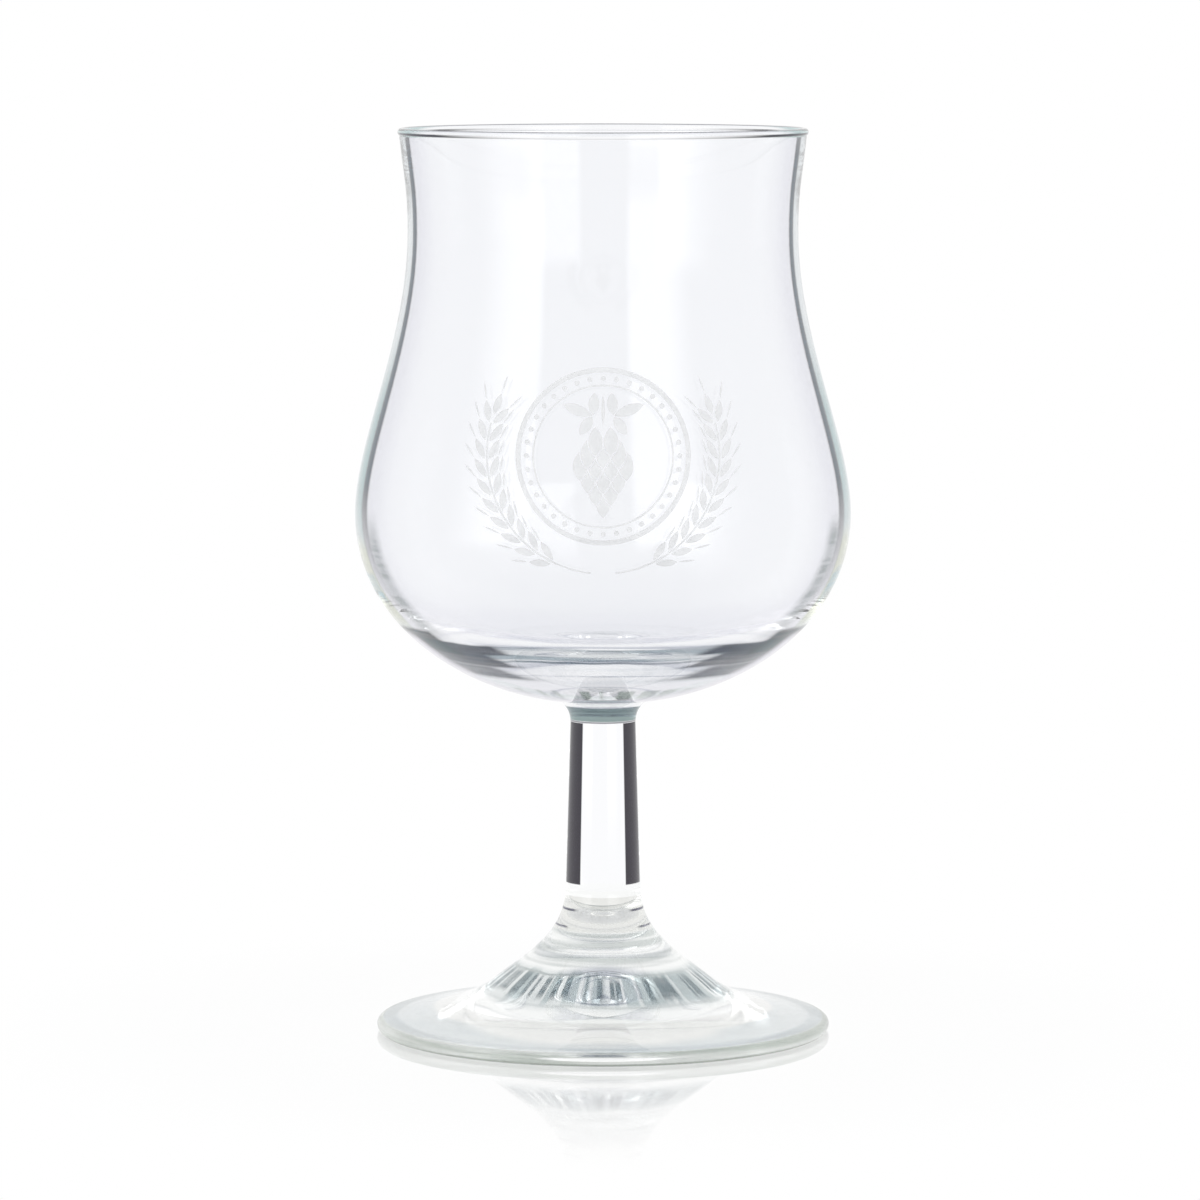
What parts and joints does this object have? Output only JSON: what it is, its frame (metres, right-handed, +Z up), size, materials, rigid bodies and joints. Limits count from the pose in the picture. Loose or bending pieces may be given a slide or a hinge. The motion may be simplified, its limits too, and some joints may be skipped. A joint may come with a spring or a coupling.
{
  "type": "tulip beer glass",
  "caption": "Stemmed tulip glass for beer: a rounded bowl with a waisted neck and flared brim, on a solid stem and a wide flared foot, with a frosted hop and barley design.",
  "frame": {"origin": "middle of the ring that the foot stands on, at the table", "axes": "+Z up along the axis of the glass, towards the brim; -Y towards the frosted design, which is the front"},
  "size_m": [0.082, 0.0822, 0.15],
  "materials": {
    "clear_glass": "fire-polished clear soda-lime glass, faintly green at its edges",
    "fired_frost": "frosted white glass enamel, fired on"
  },
  "bodies": {
    "root": {"foot": "clear_glass", "stem": "clear_glass", "collar": "clear_glass", "bowl": "clear_glass", "print_roundel": "fired_frost", "print_hop": "fired_frost", "print_left_barley": "fired_frost", "print_right_barley": "fired_frost"}
  },
  "joints": []
}
